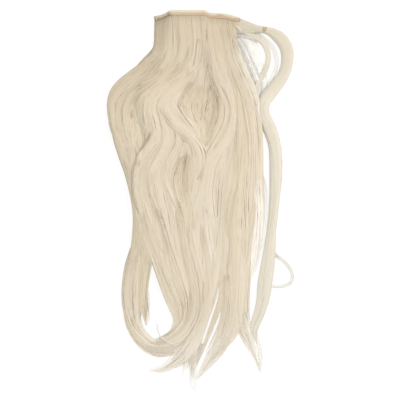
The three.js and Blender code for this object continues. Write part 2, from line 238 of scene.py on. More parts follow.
# Pale streaks on the pile, in the same columns
PALE_LOCKS = [
    ("streak", 11, 0.18, [(8, -8), (11, -32), (14, -56), (18, -82), (22, -108)]),
    ("upper right edge", 13, 0.1, [(50, 240), (54, 218), (61, 198), (70, 178), (79, 156), (85, 134),
     (88, 110)]),
    ("right edge", 14, 0.4, [(88, 40), (88, 10), (89, -20), (88, -55), (85, -90), (79, -126)]),
    ("right tip", 9, 0.22, [(68, -168), (74, -196), (82, -222), (89, -244), (92, -260)]),
]

# Sections of the side lock: x, y, z, width, thickness
SIDE_LOCK_SECTIONS = [
    (46, 257, 9, 20, 2),
    (61, 255, 7.8, 22, 3),
    (76, 253, 6.4, 14, 4),
    (88, 250.8, 6, 9, 5),
    (98.6, 249.6, 6, 8, 6),
    (117, 241, 5, 16, 8),
    (130, 225, 4.5, 18, 8),
    (132.5, 203, 4.5, 16, 8),
    (126, 181, 5, 16, 9),
    (110.5, 159, 8, 17, 10),
    (97, 141, 12, 18, 11),
    (95, 125, 11, 18, 11),
    (105, 103, 7, 19, 10),
    (113.5, 76, 5, 17, 9),
    (115.5, 36, 4.5, 18, 9),
    (113, -10, 4.5, 14, 8),
    (108.5, -54, 4, 13, 7),
    (105, -93, 4, 19, 8),
    (99.5, -130, 4, 22, 8),
    (95.5, -160, 3.5, 19, 7),
    (88, -184, 3.5, 16, 6),
    (81, -203, 3, 13, 5),
    (83, -222, 2.5, 8, 4),
    (89, -246, 2, 3, 3),
]

# Thread binding of the side lock
TIE_SECTION = 4  # the bound section of the side lock
TIE_WIDTH = 9.4
TIE_HEIGHT = 7.2
TIE_LENGTH = 5.6
TIE_TURNS = 7
TIE_THREAD_RADIUS = 0.45
TIE_POINTS = 160
TIE_CORNERS = 8
KNOT_SIZE = 0.42
KNOT_RISE = 1.6  # height over the binding, in knot sizes
END_START = 0.4  # the thread's two ends start this far from the knot's middle
END_SPREAD = 1.4
END_LENGTH = 4.4
END_RISE = 0.5
END_DROP = 2.2

# Loose wisps: name, strands, how much paler than the mean, width, height above the floor, [X, Y] points
WISPS = [
    ("faint arc", 90, 0, 6, 3, [(64, 261), (82, 248), (96, 238), (108, 228), (115, 214), (117, 200),
     (115, 189), (109, 176), (98, 160)]),
    ("arc root", 110, -0.3, 9, 5, [(48, 247), (60, 244), (75, 242), (88, 237), (98, 229)]),
    ("near haze", 150, 0.2, 20, 7, [(46, 240), (56, 226), (65, 208), (74, 189), (82, 164), (87, 136)]),
    ("middle haze", 140, 0.15, 24, 3.5, [(44, 244), (57, 228), (68, 208), (77, 188), (85, 164),
     (89, 136)]),
    ("arc haze", 260, 0.3, 30, 2.2, [(56, 246), (67, 235), (76, 219), (81, 203), (85, 186), (89, 166),
     (91, 142)]),
    ("far haze", 100, 0.35, 34, 2.5, [(44, 246), (60, 230), (75, 208), (83, 187), (88, 164), (91, 136)]),
    ("right veil", 120, 0.1, 15, 5, [(88, 44), (93, 20), (96, -6), (95, -36), (91, -70), (86, -104)]),
    ("right loop", 70, -0.15, 4.5, 2.5, [(105, -68), (115, -88), (127, -97.5), (136, -107.5),
     (141, -121.5), (137, -131.5), (127, -135.5), (109.5, -135.5), (98, -131)]),
    ("curl", 12, -0.3, 2, 8.5, [(-63, -192), (-61.5, -202.5), (-55.5, -213), (-43.5, -220.5),
     (-31.5, -223.5)]),
    ("tip left", 45, 0, 3, 2, [(-17, -215), (-22.5, -249), (-24.5, -277)]),
    ("tip middle", 45, 0, 3, 2, [(-8, -220), (-15, -253.5), (-13, -285)]),
    ("tip long", 110, 0, 9, 2, [(4, -222), (-7, -254), (-8, -279), (-4, -303)]),
    ("right tip", 90, 0, 6, 3, [(80, -190), (87, -214), (93, -238), (93, -264)]),
    ("inner tip left", 60, -0.1, 7, 2, [(-84, -130), (-80, -162), (-81, -188)]),
    ("inner tip right", 20, 0, 5, 2, [(-80, -125), (-76.5, -156), (-73.5, -190.5)]),
]

# Groups of locks: strands in each lock, how much paler than the mean, how much painted shade darkens the
# roots
GROUPS = {
    "under": (12, -0.1, 0.3),
    # The sweep's darker tone is partly painted shade on the left bulge, which faces away from the key
    # light
    "sweep": (100, -0.2, 0.18),
    "wave": (100, 0.0, 0.05),
    "turn": (96, 0.0, 0.06),
    "parting": (100, 0.0, 0.14),
    "straight": (100, 0.0, 0.24),
    "wisp": (76, -0.02, 0.34),
}

# Strands
SIDE_LOCK_STRANDS = 280
SIDE_LOCK_ROOT_SPREAD = 0.04  # share of the length within which strands start
STRANDS_PER_WIDTH = 4  # for each millimetre of a surface lock's width
STATIONS = 38
SHORT_STATIONS = 24
WISP_STATIONS = 16
WISP_CLUMPS = 2
WISP_ROOT_WIDTH = 0.5  # shares of a wisp's full width
WISP_TIP_WIDTH = 0.2
WISP_THICKNESS = 2.0
BEND_CROWDING = 1.0  # how much closer stations lie in a bend
STRAND_RADIUS = (0.26, 0.42)
WISP_RADIUS = (0.07, 0.12)
TIP_RADIUS = 0.07
TIP_THINNING = (0.8, 1.0)  # where along a strand it thins to its tip
RIBBON_CORNERS = 3
RIBBON_WIDTH = 1.5  # width and height of a strand for a radius of 1
RIBBON_HEIGHT = 0.55
RIBBON_ROLL = 0.25  # the most that a strand leans to either side
STRAND_LAYER = 0.32  # depth of the layer of strands
STRAND_ARC = (-0.2, np.pi + 0.2)  # the part of a section that strands cover, from right to left
ARC_SAMPLES = 400
SECTION_POWER = 0.78  # below 1, a section is flatter than an ellipse
SURFACE_LIFT_POWER = 1.8  # above 1, it is thin towards its edges
SECTION_ASPECT = 3.5  # width of a usual section for a height of 1
DEEPEST_INSET = 0.6  # deepest place in a lock, as a share of its half height
CLUMPS = 4
CLUMP_RIDGE = 0.24  # how much higher a clump's middle is
CLUMP_DRIFT = 0.08  # how far clumps, strands and stray strands wander round the section
STRAND_DRIFT = 0.06
STRAY_DRIFT = 0.45
STRAY_SHARE = 0.012
STRAY_RISE = 0.6
CLUMP_TIGHTENING = 0.1  # how far a clump's strands gather, and where along the length
TIGHTENING_RANGE = (0.3, 0.95)
TIP_GATHERING = 0.3  # how far strands gather on top of a lock, and where along the length
GATHERING_RANGE = (0.55, 0.95)
TIP_SPREAD = 30.0  # the shortest strands end this far before a long lock's tip
TIP_SPREAD_SHARE = 0.25  # the same for a short lock, as a share of its length
TIP_SPREAD_POWER = 1.3  # above 1, more strands reach the tip
FLOOR_CLEARANCE = 0.05
SWAY = 1.2  # how far a lock rises and sinks along its way, in waves of two kinds
SWAY_TURNS = (3.0, 5.0)
SWAY_SIZES = (1.0, 0.6)
WANDER_SPEEDS = (0.7, 1.3)  # slowest and fastest winding of a random curve

# Tints, from 0 in deep shade to 1, the palest
MEAN_TINT = 0.5
CLUMP_TINT = 0.06
STRAND_TINT = 0.07
# Cores are tinted darker as painted shade, which shows in the gaps between the strands
CORE_TINT = 0.3
SIDE_LOCK_CORE_TINT = 0.45
SIDE_LOCK_TONE = -0.01  # how much paler than the mean the side lock is
TIP_TINT = 0.2  # how much paler the tips are
TIP_START = -150.0  # Y where the tips start to get paler
TIP_END = -275.0  # Y where they are palest
PAINTED_ROOT_SHADE_FADE = (0.03, 0.14)  # where along the length the painted shade at the roots runs out

# Surface locks
SURFACE_RISE = 1.3  # height of a surface lock's middle over the pile
SURFACE_SINK = 3.6  # depth of its ends in the pile
SHADE_RISE = 1.7  # the same two for the thin locks of painted shade and the pale ones
SHADE_SINK = 1.2
WAY_UP = 0.16  # shares of the length over which a surface lock comes up and sinks back
WAY_DOWN = 0.2
SURFACE_CLUMP_WIDTH = 6
SURFACE_ROOT_SPREAD = 0.24
SURFACE_TAPER_ALONG = [0, 0.18, 0.8, 1]
SURFACE_TAPER_SHARE = [0.5, 1, 1, 0.4]

# Pile
PILE_CELL = 2.0
PILE_REACH = 320
PILE_SAMPLES = (400, 40)  # along and round each lock
PILE_LOCK_SHARE = 0.97  # share of a lock's length that counts
PILE_CLOSING = 2  # cells by which high parts are widened, to close narrow valleys
PILE_BLUR = 2.2  # cells over which the surface is smoothed, and the reach of the smoothing
PILE_BLUR_REACH = 8
PILE_SLACK = 0.8  # depth of the fall's strands in the pile
PILE_FILL = 0.45  # the most that a lock rises into a valley, as a share of the pile's height
FILL_START = (0.02, 0.1)  # where along a lock that sets in
FILL_LIFT = 0.5  # height in a section above which all of it applies

# Cores
CORE_SIDES = 24
CORE_STATIONS = 48
CORE_DEPTH = 1.4  # how far a core lies below its lock's surface
CORE_RIDGE = 0.15
CORE_REACH = 0.97  # share of a lock's length
CORE_TAPER_START = 0.84
CORE_SLIMMING = 0.96  # how much slimmer the end of a core is
CORE_CLEARANCE = 0.1

# Floor, light and camera
FLOOR_REACH = 4000
FLOOR_COLOUR = (0.1, 0.1, 0.1, 1)
FLOOR_GLOW = 0.9
SKY_STRENGTH = 0.95
KEY_PLACE = (800, 600, 1500)
KEY_SIZE = 1400
KEY_POWER = 20
VIEW_CENTRE = (1.5, -6, 12)  # the middle of the picture, halfway up the pile
VIEW_SIDE = 600
LENS = 150
SENSOR_WIDTH = 36

# Colours and fineness
WHITE = (255, 255, 255)
BLACK = (0, 0, 0)
UV_ROWS = 12  # rows of strands in a piece's map
SPAN_STEPS = 24  # points from one section of a smooth path to the next


def smooth_path(points, per_span=SPAN_STEPS):
    """A smooth curve through the points, as closely spaced points."""
    points = np.asarray(points, float)
    padded = np.vstack([2 * points[0] - points[1], points, 2 * points[-1] - points[-2]])
    t = np.linspace(0, 1, per_span, endpoint=False)[:, None]
    spans = []
    for before, start, end, after in zip(padded, padded[1:], padded[2:], padded[3:]):
        gap_in, gap, gap_out = (
            np.sqrt(np.linalg.norm(b - a)) for a, b in ((before, start), (start, end), (end, after))
        )
        step = end - start
        leave = ((start - before) / gap_in - (end - before) / (gap_in + gap)) * gap + step
        arrive = step - ((after - start) / (gap + gap_out) - (after - end) / gap_out) * gap
        spans.append(
            start + leave * t + (3 * step - 2 * leave - arrive) * t**2 + (leave + arrive - 2 * step) * t**3
        )
    return np.vstack([*spans, points[-1:]])


def smoothstep(low, high, value):
    t = np.clip((value - low) / (high - low), 0, 1)
    return t * t * (3 - 2 * t)


def unit(vectors):
    return vectors / np.linalg.norm(vectors, axis=-1, keepdims=True)


def wander(count, share, turns=(1.0, 2.3, 4.4), sizes=(1.0, 0.5, 0.25)):
    """Smooth random curves between about -1 and 1, a row for each."""
    total = np.zeros((count, share.shape[-1]))
    for turn, size in zip(turns, sizes):
        speed = turn * random.uniform(*WANDER_SPEEDS, (count, 1))
        phase = random.uniform(0, 2 * np.pi, (count, 1))
        total += size * np.sin(2 * np.pi * speed * share + phase)
    return total / sum(sizes)


def section(turn, lift_power=SECTION_POWER):
    """Places across and up a section at angles round it, as shares of its half width and half height."""
    across = np.cos(turn)
    lift = np.sin(turn)
    return np.sign(across) * np.abs(across) ** SECTION_POWER, np.sign(lift) * np.abs(lift) ** lift_power


def even_turns(count):
    """Random angles that spread strands evenly over the visible part of a section."""
    turn = np.linspace(*STRAND_ARC, ARC_SAMPLES)
    across, lift = section(turn)
    steps = np.hypot(np.diff(across) * SECTION_ASPECT, np.diff(lift))
    reached = np.concatenate([[0], np.cumsum(steps)])
    return np.interp(random.random(count) * reached[-1], reached, turn)


class Course:
    """The way of a lock: its centreline, and the side direction, half width and half height along it."""

    lift_power = SECTION_POWER

    def __init__(self, points, widths=1, heights=1, along_band=None, sway=0.0):
        self.along_band = along_band
        self.pile = None
        count = len(points)
        path = smooth_path(np.column_stack([points, np.full(count, widths), np.full(count, heights)]))
        self.centre = path[:, :3]
        self.half_width = path[:, 3] / 2
        self.half_height = path[:, 4] / 2
        steps = np.linalg.norm(np.diff(self.centre, axis=0), axis=1)
        self.length = steps.sum()
        self.share = np.concatenate([[0], np.cumsum(steps)]) / self.length
        tangent = unit(np.gradient(self.centre, axis=0))
        bends = np.linalg.norm(np.diff(tangent, axis=0), axis=1)
        effort = steps / self.length + BEND_CROWDING * bends / bends.sum()
        self.effort = np.concatenate([[0], np.cumsum(effort)]) / effort.sum()
        self.side = unit(np.cross(UP, tangent))
        if along_band is not None:
            level = smoothstep(0, ROOT_BLEND, self.share)[:, None]
            self.side = unit(self.side * level + along_band * (1 - level))
        self.normal = unit(np.cross(tangent, self.side))
        waves = wander(1, self.share, SWAY_TURNS, SWAY_SIZES)[0]
        self.centre[:, 2] += sway * waves * np.sin(np.pi * self.share)

    def stations(self, count):
        """Shares of the length at a number of stations, closer together where the lock bends."""
        return np.interp(np.linspace(0, 1, count), self.effort, self.share)

    def read(self, vectors, share):
        return np.stack([np.interp(share, self.share, vectors[:, axis]) for axis in range(3)], axis=-1)

    def place(self, share, turn, depth):
        """Points at shares of the length and angles round the section, at a depth below its surface."""
        across, lift = section(turn, self.lift_power)
        half_width = np.interp(share, self.share, self.half_width)
        half_height = np.interp(share, self.share, self.half_height)
        inset = np.minimum(depth, DEEPEST_INSET * half_height)
        points = self.read(self.centre, share)
        points += self.read(self.side, share) * (across * (half_width - inset))[..., None]
        points[..., 2] += lift * (half_height - inset)
        if self.along_band is not None:
            points += self.bend_of_band(points, share)
        if self.pile is not None:
            points[..., 2] += self.fill_of_pile(points, lift, depth) * smoothstep(*FILL_START, share)
        return points

    def fill_of_pile(self, points, lift, depth):
        """How far points on top of a lock rise to make the valleys of the pile shallow."""
        top = self.pile.height(points)
        gap = top - PILE_SLACK - depth - points[..., 2]
        return np.clip(gap, 0, PILE_FILL * top) * smoothstep(0, FILL_LIFT, lift)

    def bend_of_band(self, points, share):
        """How far points near the roots move to stay behind the band where it bends."""
        reach = (points[..., :1] - self.centre[0, 0]) / self.along_band[0]
        straight = self.centre[0] + self.along_band * reach
        bent = band_points(points[..., 0]) + (0, ROOT_OVERLAP, -ROOT_DEPTH)
        held = 1 - smoothstep(0, ROOT_BLEND, share)
        return (bent - straight) * held[..., None]

    def beside(self, share, across, height):
        """Points at shares of the length, moved sideways and away from the surface by distances."""
        points = self.read(self.centre, share) + self.read(self.side, share) * across[..., None]
        return points + self.read(self.normal, share) * height[..., None]


class SurfaceCourse(Course):
    """The way of a narrow lock that lies on the pile and sinks into it at both ends."""

    lift_power = SURFACE_LIFT_POWER

    def __init__(self, pile, width, rise, sink, points):
        super().__init__([(x, y, 0) for x, y in points])
        self.ground = pile
        self.sink = sink
        self.half_width = width / 2 * np.interp(self.share, SURFACE_TAPER_ALONG, SURFACE_TAPER_SHARE)
        self.half_height = np.full(len(self.share), rise)

    def place(self, share, turn, depth):
        points = super().place(share, turn, depth)
        lifted = smoothstep(0, WAY_UP, share) * smoothstep(0, WAY_DOWN, 1 - share)
        points[..., 2] += self.ground.height(points) - PILE_SLACK - self.sink * (1 - lifted)
        return points


class Pile:
    """The height of the hair's upper surface, on a square grid round the origin."""

    def __init__(self, courses):
        cells = int(2 * PILE_REACH / PILE_CELL) + 1
        top = np.zeros((cells, cells))
        along, around = PILE_SAMPLES
        share, turn = np.meshgrid(np.linspace(0, PILE_LOCK_SHARE, along), np.linspace(0, np.pi, around))
        for course in courses:
            points = course.place(share, turn, np.zeros_like(share))
            column, row = np.rint((points[..., :2] + PILE_REACH) / PILE_CELL).astype(int).reshape(-1, 2).T
            np.maximum.at(top, (column, row), points[..., 2].ravel())
        shifts = range(-PILE_CLOSING, PILE_CLOSING + 1)
        for axis in (0, 1):
            top = np.max([np.roll(top, shift, axis) for shift in shifts], axis=0)
        spread = np.arange(-PILE_BLUR_REACH, PILE_BLUR_REACH + 1)
        kernel = np.exp(-0.5 * (spread / PILE_BLUR) ** 2)
        kernel /= kernel.sum()
        for axis in (0, 1):
            top = sum(weight * np.roll(top, shift, axis) for weight, shift in zip(kernel, spread))
        self.top = top

    def height(self, points):
        place = (points[..., :2] + PILE_REACH) / PILE_CELL
        cell = place.astype(int)
        column, row = cell[..., 0], cell[..., 1]
        right, up = (place - cell)[..., 0], (place - cell)[..., 1]
        near = self.top[column, row] * (1 - up) + self.top[column, row + 1] * up
        far = self.top[column + 1, row] * (1 - up) + self.top[column + 1, row + 1] * up
        return near * (1 - right) + far * right


def band_points(x):
    """Points of the band's centreline at places along X."""
    across, back, height = np.array(BAND_SECTIONS, float).T
    return np.stack([x, np.interp(x, across, back), np.interp(x, across, height)], axis=-1)


def fall_course(tier, width, fall, tail):
    """A lock of the main fall, from behind the band to its tip."""
    rise, thickness = TIERS[tier]
    root, before, after = band_points(fall[0] + np.array([0, -BAND_WIDTH, BAND_WIDTH]))
    along_band = unit(after - before)
    points = [root + (0, ROOT_OVERLAP, -ROOT_DEPTH), root + (0, -BAND_WIDTH, -ROOT_DEPTH)]
    heights = list(ROOT_HEIGHTS)
    for level, (x, pile) in enumerate(zip(fall[1:], PILE_HEIGHTS), start=1):
        points.append((x, ROOT_TOP - LEVEL_STEP * level, pile * rise))
        heights.append(pile * thickness)
    for index, (x, y) in enumerate(tail, start=1):
        pile = TAIL_PILE_HEIGHT + (TIP_PILE_HEIGHT - TAIL_PILE_HEIGHT) * index / len(tail)
        points.append((x, y, pile * rise))
        heights.append(pile * thickness)
    course = Course(points, heights=heights, along_band=along_band, sway=SWAY)
    course.half_width = width / 2 * np.interp(course.share, TAPER_ALONG, TAPER_SHARE)
    return course


def side_course():
    rows = np.array(SIDE_LOCK_SECTIONS, float)
    return Course(rows[:, :3], rows[:, 3], rows[:, 4])


def wisp_course(width, height, points):
    widths = [width * WISP_ROOT_WIDTH] + [width] * (len(points) - 2) + [width * WISP_TIP_WIDTH]
    return Course([(x, y, height) for x, y in points], widths, WISP_THICKNESS)


def lock_strands(
    course, count, clumps, radius=STRAND_RADIUS, stations=STATIONS,
    root_spread=0.0, painted_root_shade=0.0, tone=0.0,
):
    """Rings, tints and shares of a lock's strands, gathered in clumps that tighten towards the tips."""
    start = even_turns(count)
    clump_turn = (STRAND_ARC[1] - STRAND_ARC[0]) / clumps
    clump = np.clip(((start - STRAND_ARC[0]) / clump_turn).astype(int), 0, clumps - 1)
    middle = STRAND_ARC[0] + (clump + 0.5) * clump_turn
    away = (start - middle)[:, None]
    along = course.stations(stations)
    first = root_spread * random.random((count, 1))
    tip_spread = min(TIP_SPREAD / course.length, TIP_SPREAD_SHARE)
    last = 1 - tip_spread * random.random((count, 1)) ** TIP_SPREAD_POWER
    share = first + along * (last - first)
    stray = random.random((count, 1)) < STRAY_SHARE
    turn = middle[:, None] + away * (1 - CLUMP_TIGHTENING * smoothstep(*TIGHTENING_RANGE, share))
    turn += CLUMP_DRIFT * wander(clumps, along)[clump] * np.sin(turn) ** 2
    turn += (STRAND_DRIFT + STRAY_DRIFT * stray) * wander(count, along)
    turn += (np.pi / 2 - turn) * TIP_GATHERING * smoothstep(*GATHERING_RANGE, share)
    depth = random.uniform(0, STRAND_LAYER, (count, 1)) - STRAY_RISE * stray
    depth = depth - CLUMP_RIDGE * (1 - (2 * away / clump_turn) ** 2)
    paths = course.place(share, turn, depth)
    thick = random.uniform(*radius, (count, 1))
    radii = thick + (TIP_RADIUS - thick) * smoothstep(*TIP_THINNING, along)
    paths[..., 2] = np.maximum(paths[..., 2], radii + FLOOR_CLEARANCE)
    tint = MEAN_TINT + tone + (CLUMP_TINT * random.uniform(-1, 1, clumps)[clump])[:, None]
    tint = tint + STRAND_TINT * random.uniform(-1, 1, (count, 1))
    # Painted shade darkens the roots near the band
    tint = tint - painted_root_shade * (1 - smoothstep(*PAINTED_ROOT_SHADE_FADE, share))
    tint = tint + TIP_TINT * smoothstep(-TIP_START, -TIP_END, -paths[..., 1])
    return ribbon_rings(paths, radii), tint[..., None], share[..., None]


def lock_core(course, core_tint=CORE_TINT):
    """Rings, tints and shares of a lock's core, with shallow ridges along it."""
    turn = -2 * np.pi * np.arange(CORE_SIDES) / CORE_SIDES
    share = CORE_REACH * course.stations(CORE_STATIONS)
    turns, shares = np.meshgrid(turn, share)
    ridges = CORE_RIDGE * wander(CORE_SIDES, share).T
    rings = course.place(shares, turns, CORE_DEPTH + ridges)
    middle = rings.mean(axis=1, keepdims=True)
    slim = 1 - CORE_SLIMMING * smoothstep(CORE_TAPER_START, CORE_REACH, shares)
    rings = middle + (rings - middle) * slim[..., None]
    rings[..., 2] = np.maximum(rings[..., 2], CORE_CLEARANCE)
    # The core's low tint is painted shade, for the shade deep between the strands
    tint = np.broadcast_to(core_tint + STRAND_TINT * random.uniform(-1, 1, CORE_SIDES), shares.shape)
    return rings[None], tint[None], shares[None]


def carried_sides(tangent):
    """A side direction at each point, carried along each path without twisting."""
    sides = [unit(np.cross(tangent[:, 0], LEANING))]
    for step in range(1, tangent.shape[1]):
        ahead = tangent[:, step]
        leaning = sides[-1] - ahead * np.sum(sides[-1] * ahead, axis=-1, keepdims=True)
        sides.append(unit(leaning))
    return np.stack(sides, axis=1)


def rings_round(paths, radii, side, across, up):
    """Rings of corners round each path, at places across and up that are given for a radius of 1."""
    rise = np.cross(side, unit(np.gradient(paths, axis=1)))
    offset = across[..., None] * side[:, :, None] + up[..., None] * rise[:, :, None]
    return paths[:, :, None] + radii[:, :, None, None] * offset


def thread_rings(paths, radii, corners):
    """Round rings, each path turned at random."""
    side = carried_sides(unit(np.gradient(paths, axis=1)))
    twist = random.uniform(0, 2 * np.pi, (len(paths), 1, 1))
    angle = twist + 2 * np.pi * np.arange(corners) / corners
    return rings_round(paths, radii, side, np.cos(angle), np.sin(angle))


def ribbon_rings(paths, radii):
    """Wide and low rings of three corners, with one corner up."""
    side = unit(np.cross(unit(np.gradient(paths, axis=1)), UP))
    corner = np.pi / 2 + 2 * np.pi * np.arange(RIBBON_CORNERS) / RIBBON_CORNERS
    roll = random.uniform(-RIBBON_ROLL, RIBBON_ROLL, (len(paths), 1, 1))
    across = RIBBON_WIDTH * np.cos(corner)
    up = RIBBON_HEIGHT * np.sin(corner)
    rolled_across = across * np.cos(roll) - up * np.sin(roll)
    rolled_up = across * np.sin(roll) + up * np.cos(roll)
    return rings_round(paths, radii, side, rolled_across, rolled_up)


def add_object(name, data):
    added = bpy.data.objects.new(name, data)
    bpy.context.scene.collection.objects.link(added)
    return added


def loft_faces(index):
    """The corners of all faces of closed lofts in one row, and where each face starts in it."""
    turned = np.roll(index, -1, axis=2)
    quads = np.stack([index[:, :-1], index[:, 1:], turned[:, 1:], turned[:, :-1]], axis=-1).reshape(-1, 4)
    caps = np.concatenate([index[:, 0], index[:, -1, ::-1]])
    loops = np.concatenate([quads.ravel(), caps.ravel()])
    quad_starts = np.arange(len(quads)) * quads.shape[1]
    cap_starts = quads.size + np.arange(len(caps)) * caps.shape[1]
    return loops, np.concatenate([quad_starts, cap_starts])


def loft_map(shape):
    """A place in the piece's map for each corner, with the lofts side by side in a few rows."""
    lofts, stations, corners = shape
    rows = min(lofts, UV_ROWS)
    columns = math.ceil(lofts / rows)
    loft = np.arange(lofts)[:, None, None]
    corner_share = (np.arange(corners) + 0.5) / (corners + 1)
    station_share = (np.arange(stations) + 0.5)[:, None] / stations
    u = np.broadcast_to((loft % columns + corner_share) / columns, shape)
    v = np.broadcast_to((loft // columns + station_share) / rows, shape)
    return np.stack([u.ravel(), v.ravel()], axis=-1)


def ring_mesh(name, rings, tint, along):
    """One mesh of closed lofts. rings holds lofts x stations x corners x 3, in millimetres."""
    shape = rings.shape[:3]
    index = np.arange(np.prod(shape)).reshape(shape)
    loops, starts = loft_faces(index)
    mesh = bpy.data.meshes.new(name)
    mesh.vertices.add(index.size)
    mesh.vertices.foreach_set("co", (rings * MM).astype(np.float32).ravel())
    mesh.loops.add(len(loops))
    mesh.loops.foreach_set("vertex_index", loops.astype(np.int32))
    mesh.polygons.add(len(starts))
    mesh.polygons.foreach_set("loop_start", starts.astype(np.int32))
    uv = loft_map(shape)[loops]
    mesh.uv_layers.new(name="OFBake").uv.foreach_set("vector", uv.astype(np.float32).ravel())
    for label, values in (("tint", tint), ("along", along)):
        data = mesh.attributes.new(label, "FLOAT", "POINT").data
        data.foreach_set("value", values.astype(np.float32).ravel())
    mesh.update(calc_edges=True)
    mesh.validate()
    # The edges of ribbons stay sharp
    if shape[2] == RIBBON_CORNERS:
        mesh.shade_flat()
    else:
        mesh.shade_smooth()
    return add_object(name, mesh)


def add_piece(name, lofts, material, node=None):
    """A piece of the object from a list of loft sets, standing for a node where one is given."""
    rings = np.concatenate([ring for ring, _, _ in lofts])
    tint = np.concatenate([np.broadcast_to(part, ring.shape[:3]) for ring, part, _ in lofts])
    along = np.concatenate([np.broadcast_to(part, ring.shape[:3]) for ring, _, part in lofts])
    piece = ring_mesh(name, rings, tint, along)
    piece.data.materials.append(material)
    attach(piece, "root")
    if node:
        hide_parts(node)


def band_tape(course):
    """Rings, tints and shares of the sewn tape, puckered at each stitch."""
    outline = smooth_path(BAND_OUTLINE + BAND_OUTLINE[:1], OUTLINE_STEPS)[:-1][::-1]
    share = np.linspace(0, 1, TAPE_STATIONS)
    shares, across = np.meshgrid(share, outline[:, 0], indexing="ij")
    height = np.broadcast_to(outline[:, 1], shares.shape)
    pucker = 1 + PUCKER * np.cos(2 * np.pi * shares * course.length / STITCH_PITCH) * (height > 0)
    end_hem = 1 + END_HEM * (1 - smoothstep(*END_HEM_FADE, np.minimum(shares, 1 - shares)))
    rings = course.beside(shares, across, height * pucker * end_hem)
    # Painted shade: the tint is lower towards the tape's lower edge
    tint = smoothstep(*TAPE_PAINTED_SHADE, across)
    return rings[None], tint[None], shares[None]


def stitch_paths(course):
    """Centrelines of the running stitches in both rows, and of the bar tacks across the band."""
    step = np.linspace(0, 1, STITCH_POINTS)
    rise = np.sin(np.pi * step)
    paths = []
    for row in STITCH_ROWS:
        for start in np.arange(STITCH_PITCH, course.length - STITCH_PITCH, STITCH_PITCH):
            share = (start + STITCH_LENGTH * step) / course.length
            across = np.full(STITCH_POINTS, row)
            paths.append(course.beside(share, across, STITCH_BASE + STITCH_RISE * rise))
    for first, last in BAR_TACKS:
        for place in np.arange(first, last, TACK_PITCH / course.length):
            shift = random.uniform(-TACK_SHIFT, TACK_SHIFT)
            across = np.linspace(TACK_REACH, -TACK_REACH, STITCH_POINTS) + shift
            height = np.interp(across, TACK_PLACES, TACK_HEIGHTS)
            share = np.full(STITCH_POINTS, place)
            paths.append(course.beside(share, across, height + TACK_RISE * rise))
    return np.array(paths)


def tie_paths(course):
    """Centrelines of the wound thread, its knot, which is a trefoil, and its two ends."""
    share = course.share[TIE_SECTION * SPAN_STEPS]
    wound = np.linspace(0, 1, TIE_POINTS)
    angle = 2 * np.pi * TIE_TURNS * wound
    along = share + (wound - 0.5) * TIE_LENGTH / course.length
    coil = course.beside(along, TIE_WIDTH / 2 * np.cos(angle), TIE_HEIGHT / 2 * np.sin(angle))
    knot_angle = 2 * np.pi * wound
    knot_across = np.sin(knot_angle) + 2 * np.sin(2 * knot_angle)
    knot_along = np.cos(knot_angle) - 2 * np.cos(2 * knot_angle)
    knot_height = TIE_HEIGHT / 2 + KNOT_SIZE * (KNOT_RISE - np.sin(3 * knot_angle))
    knot_share = share + KNOT_SIZE * knot_along / course.length
    knot = course.beside(knot_share, KNOT_SIZE * knot_across, knot_height)
    paths = [coil, knot]
    for hand in (-1, 1):
        end_along = share + hand * (END_START + END_SPREAD * wound) / course.length
        end_across = -END_START - END_LENGTH * wound
        end_height = TIE_HEIGHT / 2 + END_RISE - END_DROP * wound**2
        paths.append(course.beside(end_along, end_across, end_height))
    return np.array(paths)


def thread_lofts(paths, radius, corners):
    """Rings, tints and shares of threads that are as thick all along."""
    radii = np.full(paths.shape[:2], radius)
    shares = np.linspace(0, 1, paths.shape[1])[:, None]
    return [(thread_rings(paths, radii, corners), MEAN_TINT, shares)]


def linear_light(colour):
    """A colour given as 0 to 255 display values, in linear light."""
    values = np.array(colour) / 255
    linear = np.where(values <= 0.04045, values / 12.92, ((values + 0.055) / 1.055) ** 2.4)
    return (*linear, 1.0)


def set_inputs(node, values):
    for name, value in values.items():
        node.inputs[name].default_value = value


def new_material(name, roughness, specular):
    material = bpy.data.materials.new(name)
    material.use_nodes = True
    shader = material.node_tree.nodes["Principled BSDF"]
    set_inputs(shader, {"Roughness": roughness, "Specular IOR Level": specular})
    return material, material.node_tree, shader


def attribute(tree, name):
    node = tree.nodes.new("ShaderNodeAttribute")
    node.attribute_name = name
    return node.outputs["Fac"]


def ramp(tree, factor, stops):
    """A colour ramp over a factor, with stops given as position and display colour."""
    node = tree.nodes.new("ShaderNodeValToRGB")
    first, last = node.color_ramp.elements
    first.position, first_colour = stops[0]
    first.color = linear_light(first_colour)
    last.position, last_colour = stops[-1]
    last.color = linear_light(last_colour)
    for position, colour in stops[1:-1]:
        node.color_ramp.elements.new(position).color = linear_light(colour)
    tree.links.new(factor, node.inputs["Fac"])
    return node.outputs["Color"]


def mix_colours(tree, mode, first, second):
    node = tree.nodes.new("ShaderNodeMix")
    node.data_type = "RGBA"
    node.blend_type = mode
    tree.links.new(first, node.inputs["A"])
    tree.links.new(second, node.inputs["B"])
    return node


def multiply(tree, first, second):
    node = mix_colours(tree, "MULTIPLY", first, second)
    set_inputs(node, {"Factor": 1.0})
    return node.outputs["Result"]


def fade(tree, factor, first, second):
    """A blend from one colour to another as a factor rises."""
    node = mix_colours(tree, "MIX", first, second)
    tree.links.new(factor, node.inputs["Factor"])
    return node.outputs["Result"]


def add_bump(tree, shader, height, strength, distance):
    node = tree.nodes.new("ShaderNodeBump")
    set_inputs(node, {"Strength": strength, "Distance": distance * MM})
    tree.links.new(height, node.inputs["Height"])
    tree.links.new(node.outputs["Normal"], shader.inputs["Normal"])


def wave(tree, direction, scale, distortion):
    """Even ridges across one direction of the piece's own map."""
    place = tree.nodes.new("ShaderNodeUVMap")
    place.uv_map = "OFBake"
    node = tree.nodes.new("ShaderNodeTexWave")
    node.bands_direction = direction
    set_inputs(node, {"Scale": scale, "Distortion": distortion})
    tree.links.new(place.outputs["UV"], node.inputs["Vector"])
    return node.outputs["Color"]


